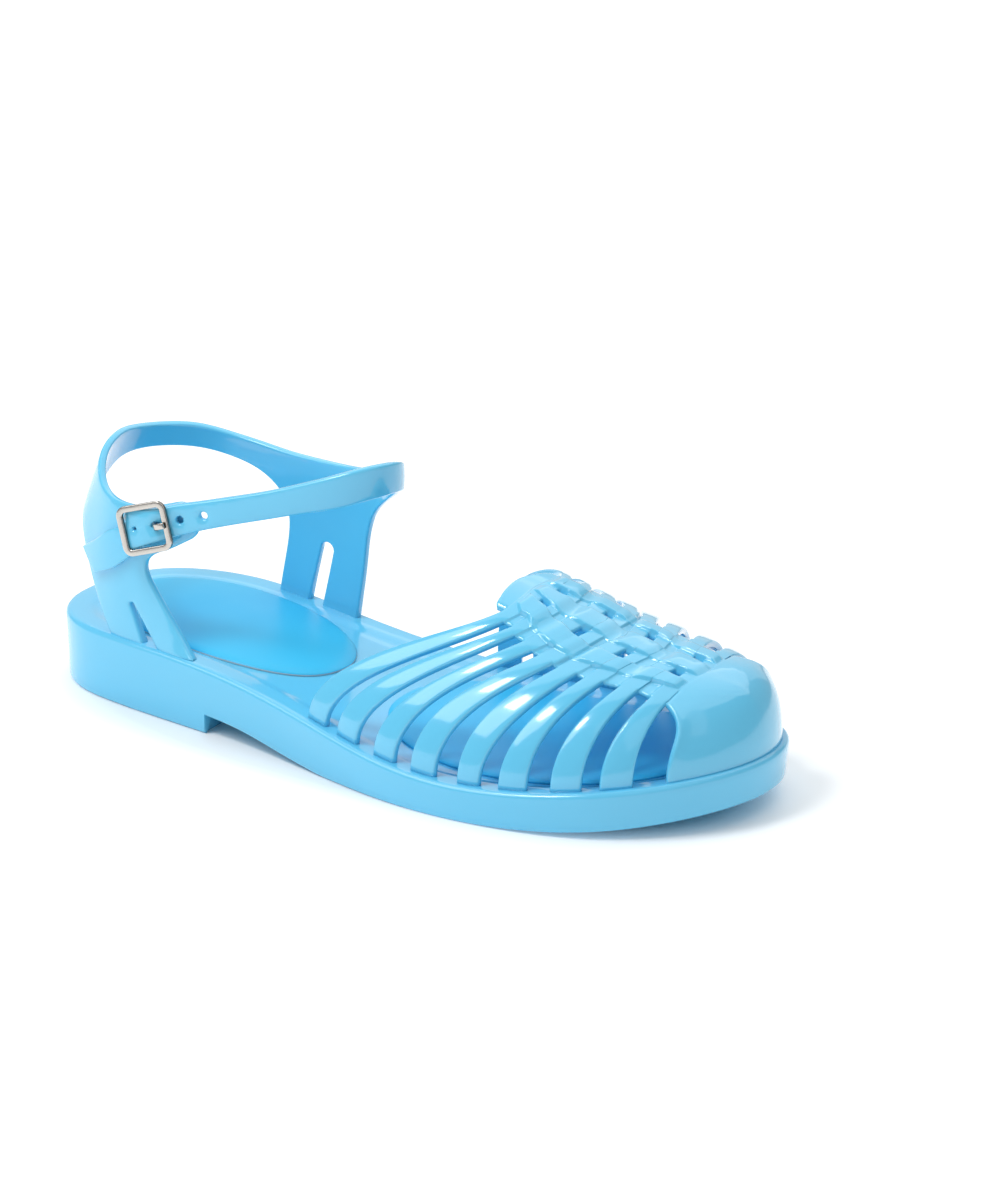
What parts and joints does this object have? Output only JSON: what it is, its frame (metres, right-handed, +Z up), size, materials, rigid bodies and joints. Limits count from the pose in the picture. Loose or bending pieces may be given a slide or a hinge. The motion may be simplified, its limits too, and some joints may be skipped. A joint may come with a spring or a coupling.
{
  "type": "strappy sandal",
  "caption": "Moulded closed-toe fisherman sandal with woven vamp straps, open quarters, ankle strap and side buckle on a low block heel.",
  "frame": {"origin": "on the floor, under the middle of the shoe's bounding box", "axes": "+X heel to toe, +Y towards the inner side of the foot, +Z up"},
  "size_m": [0.2486, 0.0998, 0.0861],
  "materials": {
    "sole_plastic": "gloss",
    "upper_plastic": "gloss",
    "pad_cover": "satin",
    "buckle_steel": "polished"
  },
  "bodies": {
    "root": {"sole": "sole_plastic", "insole_heel_pad": "pad_cover", "insole_forefoot_pad": "pad_cover", "upper_vamp": "upper_plastic", "upper_back": "upper_plastic", "buckle_tab": "upper_plastic", "buckle_frame": "buckle_steel", "buckle_prong": "buckle_steel", "rivet": "buckle_steel"}
  },
  "joints": []
}
